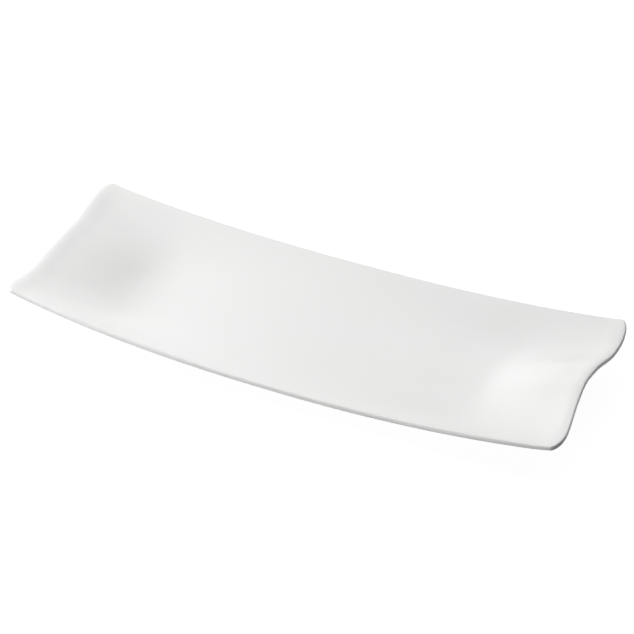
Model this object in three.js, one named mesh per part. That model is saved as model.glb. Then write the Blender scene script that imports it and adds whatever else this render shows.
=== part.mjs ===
// A long rectangular serving plate of glazed porcelain with waved, dented ends.
// Millimetres, +Z up, +X along the plate. The origin is on the table, under the plate's middle.
// The plate looks the same after half a turn about Z, so one end gives the other.
import * as THREE from 'three';

// The plain rectangle that the plan is drawn from, over the glaze, and the plate's rim
const LENGTH = 500;
const WIDTH = 188;
const RIM_THICKNESS = 4;
const RIM_ROUNDING = 1.3;
const GLAZE_THICKNESS = 0.3;

// Corners: each is a quarter of an oval, short along the plate and long across it
const CORNER_ALONG = 9;
const CORNER_ACROSS = 26;

// Long sides: how far each draws in, and how far its rim climbs, from mid-length to the corners
const SIDE_BOW = 4.7;
const CORNER_RISE = 19.4;
const RISE_POWER = 2.26;

// Ends: one dent in plan, and a crest and a dip in the rim's height, by place along the +X end
const DENT_DEPTH = 7.7;
const DENT_PLACE = -5;
const DENT_REACH = 84;
const CREST_HEIGHT = 2.4;
const CREST_PLACE = -3.5;
const CREST_REACH = 23.7;
const DIP_DEPTH = 7.4;
const DIP_PLACE = 53;
const DIP_REACH = 38.5;
const WAVE_POWER = 2;
const DENT_POWER = 4;

// Lip: just inside each end the face swells a little, so that it bends over towards the rim
const LIP_SWELL = 0.6;
const LIP_REACH = 24;
const SWELL_TOP = 27 / 256;

// Dish: a level floor, a soft crease at its two ends, and a ramp from there up to each end.
// The ramp is full in the middle and hollow by the long sides.
const WELL_DEPTH = 10.8;
const FLOOR_REACH = 161;
const CREASE_SOFTNESS = 17.5;
const RAMP_BELLY = 0.42;
const RAMP_REACH = 105;
const DISH_POWER = 2.9;
const END_DISH_POWER = 1.4;
const FLOOR_THICKNESS = 5;

// Foot ring: bare ground porcelain under the floor, with a bare strip beside it
const FOOT_LENGTH = 264;
const FOOT_WIDTH = 98;
const FOOT_CORNER = 22;
const FOOT_HEIGHT = 3;
const FOOT_BAND = 7;
const FOOT_TAPER = 0.8;
const FOOT_EDGE = 0.7;
const BARE_STRIP = 1.5;
const FOOT_FLARE = 32;

// Facets
const LONG_STEPS = 32;
const END_CROWDING = 0.6;
const END_STEPS = 12;
const CORNER_STEPS = 6;
const EDGE_STEPS = 2;
const UNDER_STEPS = 6;
const SLOPE_STEP = 0.01;

const HALF_RIM = RIM_THICKNESS / 2;
const HALF_BODY = HALF_RIM - GLAZE_THICKNESS;
const HALF_LENGTH = LENGTH / 2 - RIM_ROUNDING;
const HALF_WIDTH = WIDTH / 2 - RIM_ROUNDING;
const FLOOR_LEVEL = FOOT_HEIGHT + FLOOR_THICKNESS - HALF_BODY;
const SIDE_LEVEL = FLOOR_LEVEL + WELL_DEPTH;

// A smooth hump of height 1, back at 0 one reach away from its middle
function hump(distance, reach) {
  const turn = Math.min(Math.abs(distance) / reach, 1) * Math.PI;
  return (1 + Math.cos(turn)) / 2;
}

// Zero on one side and straight on the other, with a round corner between
function softCorner(distance) {
  return (distance + Math.hypot(distance, CREASE_SOFTNESS)) / 2;
}

// How far up the ramp a place is: 0 at mid-length and 1 at the end
function climbAt(x) {
  const start = softCorner(-FLOOR_REACH);
  const top = softCorner(HALF_LENGTH - FLOOR_REACH);
  return (softCorner(Math.abs(x) - FLOOR_REACH) - start) / (top - start);
}

// How far the lip swells: none at the end, most at a quarter of its reach, and none further in
function lipAt(x) {
  const inset = Math.min((HALF_LENGTH - Math.abs(x)) / LIP_REACH, 1);
  return (LIP_SWELL / SWELL_TOP) * inset * (1 - inset) ** 3;
}

// The middle of the plate's wall over a point of the plain rectangle that its plan is drawn from
function middle(x, y) {
  const side = x < 0 ? -1 : 1;
  const along = Math.abs(x) / HALF_LENGTH;
  const planY = y * (1 - (SIDE_BOW / HALF_WIDTH) * along ** 2);
  const place = side * planY;
  const dent = DENT_DEPTH * hump(place - DENT_PLACE, DENT_REACH);
  const planX = x * (1 - (dent / HALF_LENGTH) * along ** DENT_POWER);
  const climb = climbAt(x);
  const belly = (1 + RAMP_BELLY) * hump(place, RAMP_REACH) - 1;
  const ramp = climb * (1 + belly * (1 - climb));
  const sideRise = CORNER_RISE * along ** RISE_POWER;
  const midRise = ramp * (WELL_DEPTH + CORNER_RISE) - WELL_DEPTH;
  const dish = DISH_POWER + (END_DISH_POWER - DISH_POWER) * along ** 2;
  const across = (Math.abs(y) / HALF_WIDTH) ** dish;
  const crest = CREST_HEIGHT * hump(place - CREST_PLACE, CREST_REACH);
  const dip = DIP_DEPTH * hump(place - DIP_PLACE, DIP_REACH);
  const wave = (crest - dip) * along ** WAVE_POWER;
  const height = SIDE_LEVEL + midRise + (sideRise - midRise) * across + wave + lipAt(x);
  return new THREE.Vector3(planX, planY, height);
}

// The wall's middle and its upward normal
function wall(spot) {
  const point = middle(spot.x, spot.y);
  const alongX = middle(spot.x + SLOPE_STEP, spot.y).sub(middle(spot.x - SLOPE_STEP, spot.y));
  const alongY = middle(spot.x, spot.y + SLOPE_STEP).sub(middle(spot.x, spot.y - SLOPE_STEP));
  const normal = alongX.cross(alongY).normalize();
  return { point, normal };
}

// The face of the wall at a height above its middle, measured square to the wall
function face(spot, height) {
  const { point, normal } = wall(spot);
  return point.addScaledVector(normal, height);
}

// The +X end of a rectangle with oval corners, from the near long side round to the far one
function endOutline(halfX, halfY, cornerX, cornerY) {
  const straight = halfY - cornerY;
  const near = [];
  for (let k = 0; k <= CORNER_STEPS; k++) {
    const angle = (k / CORNER_STEPS - 1) * (Math.PI / 2);
    const x = halfX - cornerX + cornerX * Math.cos(angle);
    near.push(new THREE.Vector2(x, cornerY * Math.sin(angle) - straight));
  }
  const end = [];
  for (let k = 1; k < END_STEPS; k++) {
    end.push(new THREE.Vector2(halfX, straight * ((2 * k) / END_STEPS - 1)));
  }
  const far = near.map((spot) => new THREE.Vector2(spot.x, -spot.y)).reverse();
  return [...near, ...end, ...far];
}

// Rows of spots that fill such a rectangle, each row running along +X and closer set near its ends
function lattice(halfX, halfY, cornerX, cornerY) {
  return endOutline(halfX, halfY, cornerX, cornerY).map((end) => {
    const row = [];
    for (let i = 0; i <= LONG_STEPS; i++) {
      const even = (2 * i) / LONG_STEPS - 1;
      const along = even + END_CROWDING * (Math.sin((even * Math.PI) / 2) - even);
      row.push(new THREE.Vector2(end.x * along, end.y));
    }
    return row;
  });
}

// The outer spots of a lattice, anticlockwise from above: near side, +X end, far side, -X end
function border(rows) {
  const near = rows[0];
  const far = rows[rows.length - 1].slice().reverse();
  const between = rows.slice(1, -1);
  const right = between.map((row) => row[LONG_STEPS]);
  const left = between.map((row) => row[0]).reverse();
  return [...near, ...right, ...far, ...left];
}

// Triangles of one closed solid, gathered piece by piece, each face turned over where asked
class Skin {
  constructor() {
    this.points = [];
  }

  triangle(a, b, c, turned) {
    this.points.push(a, ...(turned ? [c, b] : [b, c]));
  }

  quad(a, b, c, d, turned) {
    this.triangle(a, b, c, turned);
    this.triangle(a, c, d, turned);
  }

  // A surface over rows of points, facing up
  sheet(rows, turned = false) {
    for (let j = 0; j + 1 < rows.length; j++) {
      for (let i = 0; i < LONG_STEPS; i++) {
        this.quad(rows[j][i], rows[j][i + 1], rows[j + 1][i + 1], rows[j + 1][i], turned);
      }
    }
  }

  // Strips from each ring to the next, facing outwards where the first ring is the upper one
  bands(rings, turned = false) {
    for (let k = 0; k + 1 < rings.length; k++) {
      const [upper, lower] = rings.slice(k, k + 2);
      upper.forEach((point, i) => {
        const next = (i + 1) % upper.length;
        this.quad(point, lower[i], lower[next], upper[next], turned);
      });
    }
  }

  // A level face inside a ring, facing up: strips between the long sides and a fan in each end
  level(ring, turned = false) {
    const half = ring.length / 2;
    for (let i = 0; i < LONG_STEPS; i++) {
      const far = half + LONG_STEPS - i;
      this.quad(ring[i], ring[i + 1], ring[far - 1], ring[far], turned);
    }
    for (const side of [0, half]) {
      const start = side + LONG_STEPS;
      for (let k = start + 1; k < side + half; k++) {
        this.triangle(ring[start], ring[k], ring[(k + 1) % ring.length], turned);
      }
    }
  }

  mesh(name, colour, roughness) {
    const geometry = new THREE.BufferGeometry().setFromPoints(this.points);
    geometry.computeVertexNormals();
    const material = new THREE.MeshStandardMaterial({ color: colour, roughness, metalness: 0 });
    const mesh = new THREE.Mesh(geometry, material);
    mesh.name = name;
    return mesh;
  }
}

// The foot's outline, moved inwards by an inset
function footOutline(inset) {
  const corner = FOOT_CORNER - inset;
  return border(lattice(FOOT_LENGTH / 2 - inset, FOOT_WIDTH / 2 - inset, corner, corner));
}

const plan = lattice(HALF_LENGTH, HALF_WIDTH, CORNER_ALONG - RIM_ROUNDING, CORNER_ACROSS - RIM_ROUNDING);
const rimLine = border(plan);
const bareLine = footOutline(-BARE_STRIP);

// The upper face of the wall, from its middle up by half the wall
function upperFace(half) {
  return plan.map((row) => row.map((spot) => face(spot, half)));
}

// Half of the rim's section, by how far out and up each point is: a rounded edge over a flat face
function edgeSection(half) {
  const radius = half - HALF_RIM + RIM_ROUNDING;
  const section = [];
  for (let k = 0; k <= EDGE_STEPS; k++) {
    const angle = (1 - k / EDGE_STEPS) * (Math.PI / 2);
    section.push([radius * Math.cos(angle), half - radius + radius * Math.sin(angle)]);
  }
  return section;
}

// The rim's outside, as rings from the upper face to the lower one
function rimRings(half) {
  const walls = rimLine.map(wall);
  const outwards = walls.map(({ normal }, i) => {
    const before = walls[(i + walls.length - 1) % walls.length].point;
    const after = walls[(i + 1) % walls.length].point;
    return after.clone().sub(before).cross(normal).normalize();
  });
  const upper = edgeSection(half);
  const lower = upper.map(([out, up]) => [out, -up]).reverse();
  return [...upper, ...lower].map(([out, up]) => walls.map(({ point, normal }, i) => {
    return point.clone().addScaledVector(normal, up).addScaledVector(outwards[i], out);
  }));
}

// The underside, as rings from the rim in to the bare strip, where it settles level at the base
function underRings(half, base) {
  const rings = [];
  for (let k = 1; k <= UNDER_STEPS; k++) {
    rings.push(rimLine.map((rimSpot, i) => {
      const spot = rimSpot.clone().lerp(bareLine[i], k / UNDER_STEPS);
      const apart = spot.distanceTo(bareLine[i]);
      const settle = 1 - THREE.MathUtils.smoothstep(apart, 0, FOOT_FLARE);
      const level = new THREE.Vector3(spot.x, spot.y, base);
      return face(spot, -half).lerp(level, settle);
    }));
  }
  return rings;
}

// The fired body's outside, from the rim's upper edge round to the bare strip
function bodyRings() {
  return [...rimRings(HALF_BODY), ...underRings(HALF_BODY, FOOT_HEIGHT)];
}

// Fired porcelain: the dished wall, its rim and a level base for the foot
function porcelainBody() {
  const skin = new Skin();
  const rings = bodyRings();
  skin.sheet(upperFace(HALF_BODY));
  skin.bands(rings);
  skin.level(rings[rings.length - 1], true);
  return skin.mesh('porcelain_body', 0xece9e2, 0.6);
}

// One coat of glaze over the face, round the rim and in to the bare strip
function glazeCoat() {
  const skin = new Skin();
  const inside = bodyRings();
  const outside = [...rimRings(HALF_RIM), ...underRings(HALF_RIM, FOOT_HEIGHT - GLAZE_THICKNESS)];
  skin.sheet(upperFace(HALF_RIM));
  skin.bands(outside);
  skin.bands([outside[outside.length - 1], inside[inside.length - 1]]);
  skin.bands(inside, true);
  skin.sheet(upperFace(HALF_BODY), true);
  return skin.mesh('glaze_coat', 0xf3f2ef, 0.15);
}

// A level ring under the plate, at an inset from the foot's outline
function levelRing(inset, height) {
  return footOutline(inset).map((spot) => new THREE.Vector3(spot.x, spot.y, height));
}

// The ring that the plate stands on, tapered and with its two lower edges broken
function footRing() {
  const skin = new Skin();
  const section = [
    [0, FOOT_HEIGHT],
    [FOOT_TAPER, FOOT_EDGE],
    [FOOT_TAPER + FOOT_EDGE, 0],
    [FOOT_BAND - FOOT_TAPER - FOOT_EDGE, 0],
    [FOOT_BAND - FOOT_TAPER, FOOT_EDGE],
    [FOOT_BAND, FOOT_HEIGHT],
  ];
  const rings = section.map(([inset, height]) => levelRing(inset, height));
  skin.bands([...rings, rings[0]]);
  return skin.mesh('foot_ring', 0xe6e1d7, 0.85);
}

// The patch of glaze on the base, inside the foot and its bare strip
function baseGlaze() {
  const skin = new Skin();
  const inset = FOOT_BAND + BARE_STRIP;
  const upper = levelRing(inset, FOOT_HEIGHT);
  const lower = levelRing(inset, FOOT_HEIGHT - GLAZE_THICKNESS);
  skin.level(upper);
  skin.bands([upper, lower]);
  skin.level(lower, true);
  return skin.mesh('base_glaze', 0xf1f0ec, 0.18);
}

const plate = new THREE.Group();
plate.add(porcelainBody(), footRing(), glazeCoat(), baseGlaze());

export default plate;
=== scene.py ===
import math

import bmesh
import bpy
import numpy as np
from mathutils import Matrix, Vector, kdtree


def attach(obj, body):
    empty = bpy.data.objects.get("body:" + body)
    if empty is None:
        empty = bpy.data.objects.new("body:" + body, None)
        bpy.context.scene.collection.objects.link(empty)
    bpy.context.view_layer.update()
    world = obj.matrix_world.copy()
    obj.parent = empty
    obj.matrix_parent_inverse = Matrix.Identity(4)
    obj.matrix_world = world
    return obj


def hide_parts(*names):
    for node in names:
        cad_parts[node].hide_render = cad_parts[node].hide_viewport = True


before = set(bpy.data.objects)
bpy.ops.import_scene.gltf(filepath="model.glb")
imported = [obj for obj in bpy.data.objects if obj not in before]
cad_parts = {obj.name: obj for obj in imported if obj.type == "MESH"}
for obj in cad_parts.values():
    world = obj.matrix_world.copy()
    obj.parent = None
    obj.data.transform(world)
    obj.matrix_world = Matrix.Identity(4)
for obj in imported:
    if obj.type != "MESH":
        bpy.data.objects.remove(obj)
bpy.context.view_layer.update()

# The plain rectangle that the plan is drawn from, over the glaze, and the plate's rim
LENGTH = 0.500
WIDTH = 0.188
RIM_THICKNESS = 0.004
RIM_ROUNDING = 0.0013

# Glaze: its thickness, the rounding where the coat stops, and how far from the rim's edges it is thin
GLAZE_THICKNESS = 0.0003
GLAZE_EDGE = 0.0002
THIN_GLAZE = 0.003

# Corners: each is a quarter of an oval, short along the plate and long across it
CORNER_ALONG = 0.009
CORNER_ACROSS = 0.026

# Long sides: how far each draws in, and how far its rim climbs, from mid-length to the corners
SIDE_BOW = 0.0047
CORNER_RISE = 0.0194
RISE_POWER = 2.26

# Ends: one dent in plan, and a crest and a dip in the rim's height, by place along the +X end
DENT_DEPTH = 0.0077
DENT_PLACE = -0.005
DENT_REACH = 0.084
CREST_HEIGHT = 0.0024
CREST_PLACE = -0.0035
CREST_REACH = 0.0237
DIP_DEPTH = 0.0074
DIP_PLACE = 0.053
DIP_REACH = 0.0385
WAVE_POWER = 2
DENT_POWER = 4

# Lip: just inside each end the face swells a little, so that it bends over towards the rim.
# SWELL_TOP is the greatest height of the swell's curve, inset * (1 - inset)**3.
LIP_SWELL = 0.0006
LIP_REACH = 0.024
SWELL_TOP = 27 / 256

# Dish: a level floor, a soft crease at its two ends, and a ramp from there up to each end.
# The ramp is full in the middle and hollow by the long sides.
WELL_DEPTH = 0.0108
FLOOR_REACH = 0.161
CREASE_SOFTNESS = 0.0175
RAMP_BELLY = 0.42
RAMP_REACH = 0.105
DISH_POWER = 2.9
END_DISH_POWER = 1.4
FLOOR_THICKNESS = 0.005

# Foot ring: bare ground porcelain under the floor, with a bare strip beside it.
# Outside that strip the underside turns level over the length of the flare.
FOOT_LENGTH = 0.264
FOOT_WIDTH = 0.098
FOOT_CORNER = 0.022
FOOT_HEIGHT = 0.003
FOOT_BAND = 0.007
FOOT_TAPER = 0.0008
FOOT_EDGE = 0.0007
BARE_STRIP = 0.0015
FOOT_FLARE = 0.032

# Fineness of the meshes, and the angles up to which an edge between faces is shaded smooth
LONG_STEPS = 160
END_CROWDING = 0.6
END_STEPS = 48
CORNER_STEPS = 14
ROWS = 2 * CORNER_STEPS + END_STEPS + 1
RIM_STEPS = 6
UNDER_STEPS = 24
EDGE_STEPS = 4
FOOT_CORNER_STEPS = 16
SMOOTH_ANGLE = math.radians(40)
PATCH_SMOOTH_ANGLE = math.radians(60)

# The step that slopes are measured over, and how far apart two equal heights may be
SLOPE_STEP = 0.00001
SAME_PLACE = 0.000001

# Half sizes and levels, worked out from the sizes above
HALF_RIM = RIM_THICKNESS / 2
HALF_BODY = HALF_RIM - GLAZE_THICKNESS
HALF_LENGTH = LENGTH / 2 - RIM_ROUNDING
HALF_WIDTH = WIDTH / 2 - RIM_ROUNDING
FLOOR_LEVEL = FOOT_HEIGHT + FLOOR_THICKNESS - HALF_BODY
SIDE_LEVEL = FLOOR_LEVEL + WELL_DEPTH

# Camera, set against the plate's middle at the level of its long rims
VIEW_AZIMUTH = math.radians(24.885)
VIEW_ELEVATION = math.radians(37.5)
VIEW_DISTANCE = 1.7354
LENS_MM = 116.66
SHIFT_X = 0.0055
SHIFT_Y = 0.0106

# Light: softboxes aimed at the plate, a room that is bright behind it, and a dark card past its +X end.
# Azimuths run from +X towards +Y, in degrees, and powers are in watts.
LAMP_DISTANCE = 1.3
LAMP_SIZE = 0.7
LAMP_AIM = Vector((0, 0, 0.02))
LAMPS = {
    "left_softbox": {"azimuth": 180, "elevation": 35, "power": 12.8},
    "front_left_softbox": {"azimuth": 225, "elevation": 12, "power": 8.7},
    "front_softbox": {"azimuth": 270, "elevation": 20, "power": 2.9},
    "back_softbox": {"azimuth": 90, "elevation": 45, "power": 1.5},
    "high_back_softbox": {"azimuth": 90, "elevation": 70, "power": 1.1},
}
ROOM_BEHIND = 1.26
CARD_PLACE = 0.36
CARD_WIDTH = 0.60
CARD_HEIGHT = 0.16
CARD_TONE = 0.05

# Floor: its gap under the foot, the tone of its paper and the white that it shows
FLOOR_SIZE = 4.0
FLOOR_GAP = 0.0001
FLOOR_PAPER = 0.12
FLOOR_GLOW = 0.96

# Colours of the finishes, as red, green, blue and alpha
GLAZE_WHITE = (0.875, 0.875, 0.875, 1)
GLAZE_CREAM = (0.865, 0.862, 0.852, 1)
GLAZE_ON_RIM = (0.82, 0.81, 0.79, 1)
BISCUIT_PALE = (0.83, 0.80, 0.75, 1)
BISCUIT_DARK = (0.76, 0.73, 0.66, 1)
FOOT_PALE = (0.78, 0.74, 0.67, 1)
FOOT_WORN = (0.68, 0.65, 0.60, 1)
FOOT_GRIT = (0.55, 0.52, 0.47, 1)

# How strongly the thin glaze shows along the rim, and how far each finish's grain stands out
RIM_TINT = 0.3
GLAZE_RELIEF = 0.00005
BISCUIT_RELIEF = 0.00004
FOOT_RELIEF = 0.00008

# Sockets of a Mix node for colours, which go by number because other sockets share their names
MIX_AMOUNT = 0
MIX_FIRST = 6
MIX_SECOND = 7
MIX_RESULT = 2


# The wall's form

def hump(distance, reach):
    """A smooth hump of height 1, back at 0 one reach away from its middle."""
    return (1 + np.cos(np.minimum(np.abs(distance) / reach, 1) * np.pi)) / 2


def smooth_step(share):
    """Climbs from 0 to 1 with a level start and finish."""
    return share**2 * (3 - 2 * share)


def soft_corner(distance):
    """Zero on one side and straight on the other, with a round corner between."""
    return (distance + np.hypot(distance, CREASE_SOFTNESS)) / 2


def climb_at(x):
    """How far up the ramp a place is: 0 at mid-length and 1 at the end."""
    start = soft_corner(-FLOOR_REACH)
    top = soft_corner(HALF_LENGTH - FLOOR_REACH)
    return (soft_corner(np.abs(x) - FLOOR_REACH) - start) / (top - start)


def lip_at(x):
    """How far the lip swells: none at the end, most at a quarter of its reach, and none further in."""
    inset = np.minimum((HALF_LENGTH - np.abs(x)) / LIP_REACH, 1)
    return LIP_SWELL / SWELL_TOP * inset * (1 - inset) ** 3


def middle(x, y):
    """The middle of the plate's wall over points of the plain rectangle that its plan is drawn from."""
    along = np.abs(x) / HALF_LENGTH
    plan_y = y * (1 - (SIDE_BOW / HALF_WIDTH) * along**2)
    place = np.where(x < 0, -plan_y, plan_y)
    dent = DENT_DEPTH * hump(place - DENT_PLACE, DENT_REACH)
    plan_x = x * (1 - (dent / HALF_LENGTH) * along**DENT_POWER)
    climb = climb_at(x)
    belly = (1 + RAMP_BELLY) * hump(place, RAMP_REACH) - 1
    ramp = climb * (1 + belly * (1 - climb))
    side_rise = CORNER_RISE * along**RISE_POWER
    mid_rise = ramp * (WELL_DEPTH + CORNER_RISE) - WELL_DEPTH
    dish = DISH_POWER + (END_DISH_POWER - DISH_POWER) * along**2
    across = (np.abs(y) / HALF_WIDTH) ** dish
    crest = CREST_HEIGHT * hump(place - CREST_PLACE, CREST_REACH)
    dip = DIP_DEPTH * hump(place - DIP_PLACE, DIP_REACH)
    wave = (crest - dip) * along**WAVE_POWER
    height = SIDE_LEVEL + mid_rise + (side_rise - mid_rise) * across + wave + lip_at(x)
    return np.stack([plan_x, plan_y, height], axis=-1)


def unit(vectors):
    """The same directions at length 1."""
    return vectors / np.linalg.norm(vectors, axis=-1, keepdims=True)


def wall(spots):
    """The wall's middle and its upward normal."""
    x, y = spots[..., 0], spots[..., 1]
    along_x = middle(x + SLOPE_STEP, y) - middle(x - SLOPE_STEP, y)
    along_y = middle(x, y + SLOPE_STEP) - middle(x, y - SLOPE_STEP)
    return middle(x, y), unit(np.cross(along_x, along_y))


def face(spots, height):
    """The face of the wall at a height above its middle, measured square to the wall."""
    point, normal = wall(spots)
    return point + normal * height


def lattice(half_x, half_y, corner_x, corner_y):
    """Rows of spots that fill a rectangle with oval corners, each row running along +X."""
    turn = np.linspace(-math.pi / 2, 0, CORNER_STEPS + 1)
    straight = half_y - corner_y
    near_x = half_x - corner_x + corner_x * np.cos(turn)
    near_y = corner_y * np.sin(turn) - straight
    end_y = np.linspace(-straight, straight, END_STEPS + 1)[1:-1]
    row_x = np.concatenate([near_x, np.full(len(end_y), half_x), near_x[::-1]])
    row_y = np.concatenate([near_y, end_y, -near_y[::-1]])
    even = np.linspace(-1, 1, LONG_STEPS + 1)
    along = even + END_CROWDING * (np.sin(even * math.pi / 2) - even)
    return np.stack([np.outer(row_x, along), np.outer(row_y, np.ones_like(along))], axis=-1)


def border(rows):
    """The outer spots of a lattice, anticlockwise from above: near side, +X end, far side, -X end."""
    return np.concatenate([rows[0], rows[1:-1, -1], rows[-1, ::-1], rows[-2:0:-1, 0]])


def foot_outline(inset):
    """The spots of the foot ring's outline, set in by an inset."""
    corner = FOOT_CORNER - inset
    return border(lattice(FOOT_LENGTH / 2 - inset, FOOT_WIDTH / 2 - inset, corner, corner))


PLAN = lattice(HALF_LENGTH, HALF_WIDTH, CORNER_ALONG - RIM_ROUNDING, CORNER_ACROSS - RIM_ROUNDING)
RIM_LINE = border(PLAN)
BARE_LINE = foot_outline(-BARE_STRIP)


def edge_section(half):
    """Half of the rim's section, as distances out and up: a rounded edge that runs into a flat face."""
    radius = half - HALF_RIM + RIM_ROUNDING
    turns = np.linspace(math.pi / 2, 0, RIM_STEPS + 1)
    return [(radius * math.cos(turn), half - radius + radius * math.sin(turn)) for turn in turns]


def rim_rings(half):
    """The rim's outside, as rings from the upper face to the lower one."""
    point, normal = wall(RIM_LINE)
    outward = unit(np.cross(np.roll(point, -1, axis=0) - np.roll(point, 1, axis=0), normal))
    upper = edge_section(half)
    lower = [(out, -up) for out, up in reversed(upper)]
    return [point + out * outward + up * normal for out, up in upper + lower]


def under_rings(half, base):
    """The underside, as rings from the rim in to the bare strip, where it settles level at the base."""
    rings = []
    for step in range(1, UNDER_STEPS + 1):
        spots = RIM_LINE + (BARE_LINE - RIM_LINE) * step / UNDER_STEPS
        apart = np.linalg.norm(spots - BARE_LINE, axis=-1, keepdims=True)
        reach = np.clip(apart / FOOT_FLARE, 0, 1)
        settle = 1 - smooth_step(reach)
        level = np.column_stack([spots, np.full(len(spots), base)])
        rings.append(face(spots, -half) * (1 - settle) + level * settle)
    return rings


# Modelling helpers

def start_piece(name):
    """Names the primitive that was just added and opens it for modelling, all selected."""
    piece = bpy.context.object
    piece.name = piece.data.name = name
    bpy.ops.object.mode_set(mode="EDIT")
    bpy.ops.mesh.select_all(action="SELECT")
    return piece


def finder_of(points):
    """A tree that finds the nearest of some points."""
    finder = kdtree.KDTree(len(points))
    for index, point in enumerate(points):
        finder.insert(point, index)
    finder.balance()
    return finder


def carry_border(piece, ring, following):
    """Moves the selected border from one ring of points to the next one."""
    finder = finder_of(ring)
    mesh = bmesh.from_edit_mesh(piece.data)
    for vertex in mesh.verts:
        if vertex.select:
            _, index, _ = finder.find(vertex.co)
            vertex.co = following[index]
    bmesh.update_edit_mesh(piece.data)


def select_open_edges():
    """Selects the edges that belong to one face only."""
    bpy.ops.mesh.select_all(action="DESELECT")
    bpy.ops.mesh.select_mode(type="EDGE")
    bpy.ops.mesh.select_non_manifold(
        use_wire=False, use_multi_face=False, use_non_contiguous=False, use_verts=False)


def select_level_edges(piece, height):
    """Selects the edges that lie level at one height."""
    bpy.ops.mesh.select_all(action="DESELECT")
    mesh = bmesh.from_edit_mesh(piece.data)
    for edge in mesh.edges:
        edge.select_set(all(abs(end.co.z - height) < SAME_PLACE for end in edge.verts))
    mesh.select_flush_mode()
    bmesh.update_edit_mesh(piece.data)


def finish_piece(piece, node, material, smooth_angle):
    """Closes the modelling, smooths the faces and hands the piece to the frame."""
    bpy.ops.mesh.select_all(action="SELECT")
    bpy.ops.mesh.normals_make_consistent(inside=False)
    bpy.ops.object.mode_set(mode="OBJECT")
    bpy.ops.object.shade_smooth_by_angle(angle=smooth_angle)
    piece.data.materials.clear()
    piece.data.materials.append(material)
    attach(piece, "root")
    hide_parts(node)


def plate_skin(name, half, base):
    """The outside of the wall at one distance from its middle: face, rim and underside."""
    bpy.ops.object.select_all(action="DESELECT")
    bpy.ops.mesh.primitive_grid_add(x_subdivisions=LONG_STEPS, y_subdivisions=ROWS - 1, size=2)
    sheet = bpy.context.object.data
    upper = face(PLAN, half)
    for vertex in sheet.vertices:
        column = round((vertex.co.x + 1) / 2 * LONG_STEPS)
        row = round((vertex.co.y + 1) / 2 * (ROWS - 1))
        vertex.co = upper[row, column]
    skin = start_piece(name)
    bpy.ops.mesh.region_to_loop()
    rings = rim_rings(half) + under_rings(half, base)
    for ring, following in zip(rings, rings[1:]):
        bpy.ops.mesh.extrude_edges_indiv()
        carry_border(skin, ring, following)
    return skin


def rounded_plate(name, inset):
    """A level rounded rectangle against the base, facing down, at an inset from the foot's outline."""
    bpy.ops.object.select_all(action="DESELECT")
    bpy.ops.mesh.primitive_plane_add(size=1)
    piece = start_piece(name)
    bpy.ops.transform.resize(value=(FOOT_LENGTH - 2 * inset, FOOT_WIDTH - 2 * inset, 1))
    bpy.ops.transform.translate(value=(0, 0, FOOT_HEIGHT))
    bpy.ops.mesh.flip_normals()
    bpy.ops.mesh.bevel(offset=FOOT_CORNER - inset, segments=FOOT_CORNER_STEPS, affect="VERTICES")
    bpy.ops.mesh.select_all(action="SELECT")
    return piece


def follow_section(section):
    """Insets the selected face step by step along a section of insets and heights."""
    for (inset, height), (next_inset, next_height) in zip(section, section[1:]):
        bpy.ops.mesh.inset(thickness=next_inset - inset, depth=height - next_height)


def round_edge(inset, height, radius):
    """A quarter round of a section, from a wall into a level face below it."""
    turns = [math.pi / 2 * step / EDGE_STEPS for step in range(EDGE_STEPS + 1)]
    return [(inset + radius * (1 - math.cos(turn)), height - radius * math.sin(turn)) for turn in turns]


def mark_thin_glaze(piece):
    """Keeps on each vertex how thin the glaze is: 1 along the rim's two edges and 0 away from them."""
    rings = rim_rings(HALF_RIM)
    finder = finder_of(np.concatenate([rings[RIM_STEPS // 2], rings[-1 - RIM_STEPS // 2]]))
    thin = piece.data.attributes.new("thin_glaze", "FLOAT", "POINT")
    for vertex in piece.data.vertices:
        _, _, apart = finder.find(vertex.co)
        thin.data[vertex.index].value = max(0, 1 - apart / THIN_GLAZE)


# The pieces

def fired_body(material):
    """Fired porcelain: the dished wall, its rim and a level base for the foot."""
    body = plate_skin("fired_body", HALF_BODY, FOOT_HEIGHT)
    bpy.ops.mesh.edge_face_add()
    finish_piece(body, "porcelain_body", material, SMOOTH_ANGLE)


def glaze_skin(material):
    """One coat of glaze over the face, round the rim and in to the bare strip."""
    inside = plate_skin("glaze_inside", HALF_BODY, FOOT_HEIGHT)
    bpy.ops.mesh.select_all(action="SELECT")
    bpy.ops.mesh.flip_normals()
    bpy.ops.object.mode_set(mode="OBJECT")
    coat = plate_skin("glaze_skin", HALF_RIM, FOOT_HEIGHT - GLAZE_THICKNESS)
    bpy.ops.object.mode_set(mode="OBJECT")
    inside.select_set(True)
    bpy.ops.object.join()
    bpy.ops.object.mode_set(mode="EDIT")
    select_open_edges()
    bpy.ops.mesh.bridge_edge_loops()
    select_level_edges(coat, FOOT_HEIGHT - GLAZE_THICKNESS)
    bpy.ops.mesh.bevel(offset=GLAZE_EDGE, segments=EDGE_STEPS)
    finish_piece(coat, "glaze_coat", material, SMOOTH_ANGLE)
    mark_thin_glaze(coat)


def ground_foot(material):
    """The ring that the plate stands on, tapered and with its two lower edges rounded."""
    ring = rounded_plate("ground_foot", 0)
    outer = [(0, FOOT_HEIGHT)] + round_edge(FOOT_TAPER, FOOT_EDGE, FOOT_EDGE)
    inner = [(FOOT_BAND - inset, height) for inset, height in reversed(outer)]
    follow_section(outer + inner)
    bpy.ops.mesh.delete(type="ONLY_FACE")
    select_open_edges()
    bpy.ops.mesh.bridge_edge_loops()
    finish_piece(ring, "foot_ring", material, SMOOTH_ANGLE)


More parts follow.
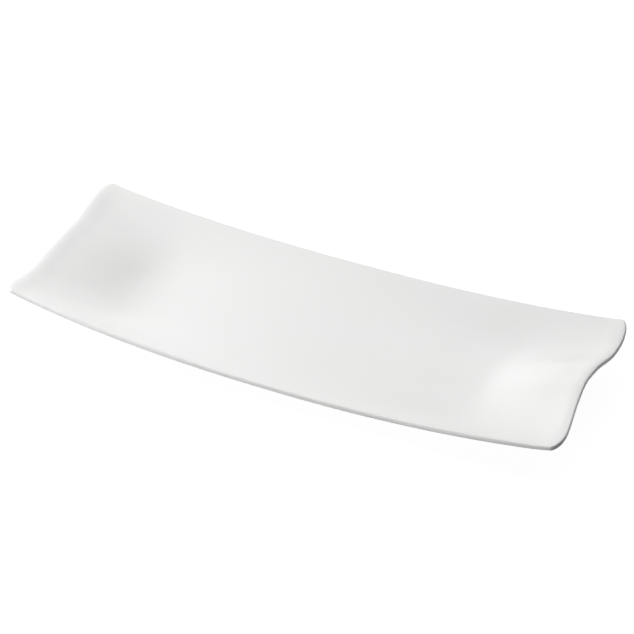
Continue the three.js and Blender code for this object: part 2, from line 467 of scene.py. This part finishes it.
def base_glaze_patch(material):
    """The patch of glaze on the base, inside the foot and its bare strip."""
    inset = FOOT_BAND + BARE_STRIP
    patch = rounded_plate("base_glaze_patch", inset)
    follow_section(round_edge(inset, FOOT_HEIGHT, GLAZE_THICKNESS))
    select_open_edges()
    bpy.ops.mesh.edge_face_add()
    finish_piece(patch, "base_glaze", material, PATCH_SMOOTH_ANGLE)


# Materials

class Shade:
    """A socket of a material, which operators build on by adding Math nodes."""

    def __init__(self, tree, socket=None):
        self.tree = tree
        self.socket = socket

    def node(self, kind, settings, sockets, output=0):
        """Adds a node: its settings first, then the values or links of its sockets."""
        made = self.tree.nodes.new(kind)
        for name, value in settings.items():
            setattr(made, name, value)
        for name, value in sockets.items():
            if isinstance(value, Shade):
                self.tree.links.new(value.socket, made.inputs[name])
            else:
                made.inputs[name].default_value = value
        return Shade(self.tree, made.outputs[output] if made.outputs else None)

    def math(self, operation, first, second):
        return self.node("ShaderNodeMath", {"operation": operation}, {0: first, 1: second})

    def __add__(self, other):
        return self.math("ADD", self, other)

    def __radd__(self, other):
        return self.math("ADD", other, self)

    def __sub__(self, other):
        return self.math("SUBTRACT", self, other)

    def __rsub__(self, other):
        return self.math("SUBTRACT", other, self)

    def __mul__(self, other):
        return self.math("MULTIPLY", self, other)

    def __rmul__(self, other):
        return self.math("MULTIPLY", other, self)


def grey(level):
    """A colour without tint."""
    return (level, level, level, 1)


def new_material(name):
    """A material with no nodes yet, and the shade that adds them."""
    material = bpy.data.materials.new(name)
    material.use_nodes = True
    material.node_tree.nodes.clear()
    return material, Shade(material.node_tree)


def object_place(shade):
    """A spot's place on the piece, in metres."""
    return shade.node("ShaderNodeTexCoord", {}, {}, "Object")


def noise(place, scale, detail):
    """Cloudy noise between 0 and 1, with a number of waves to the metre."""
    sockets = {"Vector": place, "Scale": scale, "Detail": detail}
    return place.node("ShaderNodeTexNoise", {}, sockets, "Fac")


def blend(amount, first, second):
    """A colour between two, by an amount from 0 to 1."""
    sockets = {MIX_AMOUNT: amount, MIX_FIRST: first, MIX_SECOND: second}
    return amount.node("ShaderNodeMix", {"data_type": "RGBA"}, sockets, MIX_RESULT)


def surface(material, shade, colour, roughness, height, depth):
    """The finished surface: a colour, a roughness and a height that stands out by a depth in metres."""
    bump = shade.node("ShaderNodeBump", {}, {"Height": height, "Distance": depth})
    shader = shade.node("ShaderNodeBsdfPrincipled", {}, {
        "Base Color": colour,
        "Roughness": roughness,
        "Normal": bump,
    })
    shade.node("ShaderNodeOutputMaterial", {}, {"Surface": shader})
    return material


def white_glaze():
    """Clear gloss glaze on white porcelain, thinner and a little warmer along the rim."""
    material, shade = new_material("white_glaze")
    place = object_place(shade)
    cloud = noise(place, scale=14, detail=2)
    ripple = noise(place, scale=90, detail=2)
    grain = noise(place, scale=1500, detail=1)
    thin = shade.node("ShaderNodeAttribute", {"attribute_name": "thin_glaze"}, {}, "Fac")
    white = blend(cloud, GLAZE_WHITE, GLAZE_CREAM)
    colour = blend(RIM_TINT * thin * (0.6 + 0.8 * ripple), white, GLAZE_ON_RIM)
    roughness = 0.17 + 0.06 * cloud + 0.04 * grain
    height = ripple + 0.02 * grain
    return surface(material, shade, colour, roughness, height, GLAZE_RELIEF)


def biscuit():
    """Dense fired porcelain without glaze, fine-grained and matt."""
    material, shade = new_material("biscuit")
    place = object_place(shade)
    cloud = noise(place, scale=40, detail=3)
    grain = noise(place, scale=2500, detail=3)
    colour = blend(0.5 * cloud + 0.5 * grain, BISCUIT_PALE, BISCUIT_DARK)
    roughness = 0.55 + 0.2 * grain
    return surface(material, shade, colour, roughness, grain, BISCUIT_RELIEF)


def bare_foot():
    """Porcelain ground flat on a wheel: matt, sandy, and greyed where it has slid on tables."""
    material, shade = new_material("bare_foot")
    place = object_place(shade)
    cloud = noise(place, scale=60, detail=3)
    grain = noise(place, scale=1800, detail=4)
    worn = blend(cloud, FOOT_PALE, FOOT_WORN)
    colour = blend(0.5 * grain, worn, FOOT_GRIT)
    roughness = 0.75 + 0.2 * grain
    return surface(material, shade, colour, roughness, grain, FOOT_RELIEF)


# Studio

def seen_directly(shade):
    """1 for what the camera sees, also mirrored or through glass, and 0 for light that bounces."""
    rays = ["Is Camera Ray", "Is Glossy Ray", "Is Transmission Ray"]
    camera, glossy, through = [shade.node("ShaderNodeLightPath", {}, {}, ray) for ray in rays]
    return shade.math("MINIMUM", camera + glossy + through, 1)


def pale_floor():
    """A white floor just under the foot, which keeps a faint shadow and is clear from below."""
    bpy.ops.object.select_all(action="DESELECT")
    bpy.ops.mesh.primitive_plane_add(size=FLOOR_SIZE, location=(0, 0, -FLOOR_GAP))
    floor = bpy.context.object
    floor.name = floor.data.name = "pale_floor"
    material, shade = new_material("pale_floor")
    paper = shade.node("ShaderNodeBsdfDiffuse", {}, {"Color": grey(FLOOR_PAPER)})
    glow = shade.node("ShaderNodeEmission", {}, {"Strength": FLOOR_GLOW * seen_directly(shade)})
    above = shade.node("ShaderNodeAddShader", {}, {0: paper, 1: glow})
    below = shade.node("ShaderNodeBsdfTransparent", {}, {})
    from_below = shade.node("ShaderNodeNewGeometry", {}, {}, "Backfacing")
    sides = shade.node("ShaderNodeMixShader", {}, {0: from_below, 1: above, 2: below})
    shade.node("ShaderNodeOutputMaterial", {}, {"Surface": sides})
    floor.data.materials.append(material)


def dark_card():
    """A low dark card past the +X end, hidden from view, which keeps light off that end's rim."""
    bpy.ops.object.select_all(action="DESELECT")
    bpy.ops.mesh.primitive_plane_add(size=1)
    card = start_piece("dark_card")
    bpy.ops.transform.resize(value=(CARD_HEIGHT, CARD_WIDTH, 1))
    bpy.ops.transform.rotate(value=math.pi / 2, orient_axis="Y", center_override=(0, 0, 0))
    bpy.ops.transform.translate(value=(CARD_PLACE, 0, CARD_HEIGHT / 2))
    bpy.ops.object.mode_set(mode="OBJECT")
    material, shade = new_material("dark_card")
    tone = shade.node("ShaderNodeBsdfDiffuse", {}, {"Color": grey(CARD_TONE)})
    shade.node("ShaderNodeOutputMaterial", {}, {"Surface": tone})
    card.data.materials.append(material)
    card.visible_camera = False
    card.visible_glossy = False


def studio_world():
    """White wherever it is seen. The light that it casts comes from behind the plate."""
    world = bpy.data.worlds.new("studio")
    world.use_nodes = True
    world.node_tree.nodes.clear()
    bpy.context.scene.world = world
    shade = Shade(world.node_tree)
    direction = shade.node("ShaderNodeTexCoord", {}, {}, "Generated")
    backwards = shade.node("ShaderNodeSeparateXYZ", {}, {0: direction}, "Y")
    behind = shade.math("MAXIMUM", backwards, 0)
    seen = seen_directly(shade)
    level = seen + (1 - seen) * (ROOM_BEHIND * behind)
    background = shade.node("ShaderNodeBackground", {}, {"Color": grey(1), "Strength": level})
    shade.node("ShaderNodeOutputWorld", {}, {"Surface": background})


def softbox(name, azimuth, elevation, power):
    """A square softbox at an angle round the plate and above the table, in degrees."""
    turn, tilt = math.radians(azimuth), math.radians(elevation)
    towards = Vector((math.cos(tilt) * math.cos(turn), math.cos(tilt) * math.sin(turn), math.sin(tilt)))
    place = towards * LAMP_DISTANCE
    bpy.ops.object.light_add(type="AREA", location=place)
    lamp = bpy.context.object
    lamp.name = lamp.data.name = name
    lamp.rotation_mode = "QUATERNION"
    lamp.rotation_quaternion = (LAMP_AIM - place).to_track_quat("-Z", "Y")
    lamp.data.size = LAMP_SIZE
    lamp.data.energy = power


def studio_camera():
    """The camera, in front of the plate, above it and to the +X side."""
    target = Vector((0, 0, SIDE_LEVEL))
    back = Vector((
        math.sin(VIEW_AZIMUTH) * math.cos(VIEW_ELEVATION),
        -math.cos(VIEW_AZIMUTH) * math.cos(VIEW_ELEVATION),
        math.sin(VIEW_ELEVATION),
    ))
    bpy.ops.object.camera_add(location=target + back * VIEW_DISTANCE)
    camera = bpy.context.object
    camera.name = camera.data.name = "studio_camera"
    camera.rotation_mode = "QUATERNION"
    camera.rotation_quaternion = (-back).to_track_quat("-Z", "Y")
    camera.data.lens = LENS_MM
    camera.data.shift_x = SHIFT_X
    camera.data.shift_y = SHIFT_Y
    bpy.context.scene.camera = camera


bpy.context.scene.view_settings.view_transform = "Standard"
studio_camera()
pale_floor()
dark_card()
studio_world()
for name, lamp in LAMPS.items():
    softbox(name, **lamp)
glaze = white_glaze()
fired_body(biscuit())
glaze_skin(glaze)
ground_foot(bare_foot())
base_glaze_patch(glaze)
